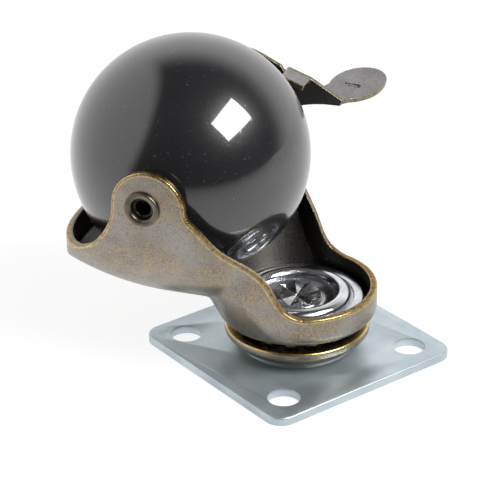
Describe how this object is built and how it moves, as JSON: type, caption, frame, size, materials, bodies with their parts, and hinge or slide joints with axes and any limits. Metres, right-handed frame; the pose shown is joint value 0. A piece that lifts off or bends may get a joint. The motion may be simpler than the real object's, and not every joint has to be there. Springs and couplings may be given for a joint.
{
  "type": "ball castor",
  "caption": "Swivelling ball castor for furniture: a glossy ball in a pressed brass-finish housing on a square screw plate, with a side brake lever.",
  "frame": {"origin": "on the swivel axis at the underside of the mounting plate", "axes": "+Z along the swivel axis from the plate towards the ball; X and Y along the plate's sides"},
  "size_m": [0.056, 0.0659, 0.054],
  "materials": {
    "zinc_plate": "bright zinc plated pressed steel, bluish",
    "antique_brass": "antique brass plated pressed steel, rubbed gold on the edges",
    "bright_cap": "bright nickel plated pressed steel",
    "pin_steel": "peened bright steel",
    "bearing_steel": "polished and greased bearing steel",
    "ball_plastic": "gloss moulded plastic, near black",
    "bush_nylon": "natural nylon",
    "eyelet_steel": "darkened plated steel",
    "axle_steel": "drawn steel"
  },
  "bodies": {
    "plate": {"mounting_plate": "zinc_plate", "lower_race": "antique_brass", "lower_bearing_balls": "bearing_steel", "upper_bearing_balls": "bearing_steel", "pin_spacer": "pin_steel", "swivel_cap": "bright_cap", "king_pin": "pin_steel"},
    "swivel": {"housing": "antique_brass", "near_eyelet": "eyelet_steel", "far_eyelet": "eyelet_steel", "axle": "axle_steel", "near_thrust_washer": "bush_nylon", "far_thrust_washer": "bush_nylon", "lever_washer": "eyelet_steel"},
    "ball": {"ball": "ball_plastic", "near_bush": "bush_nylon", "far_bush": "bush_nylon"},
    "brake": {"brake_lever": "antique_brass"}
  },
  "joints": [
    {"name": "swivel", "type": "hinge", "parent": "plate", "child": "swivel", "pos_m": [0, 0, 0.01], "axis": [0, 0, 1], "continuous": true},
    {"name": "ball_spin", "type": "hinge", "parent": "swivel", "child": "ball", "pos_m": [-0.01534, -0.01035, 0.034], "axis": [-0.5592, 0.829, 0], "continuous": true},
    {"name": "brake_lever", "type": "hinge", "parent": "swivel", "child": "brake", "pos_m": [-0.01534, -0.01035, 0.034], "axis": [-0.5592, 0.829, 0], "range_deg": [0, 35]}
  ]
}
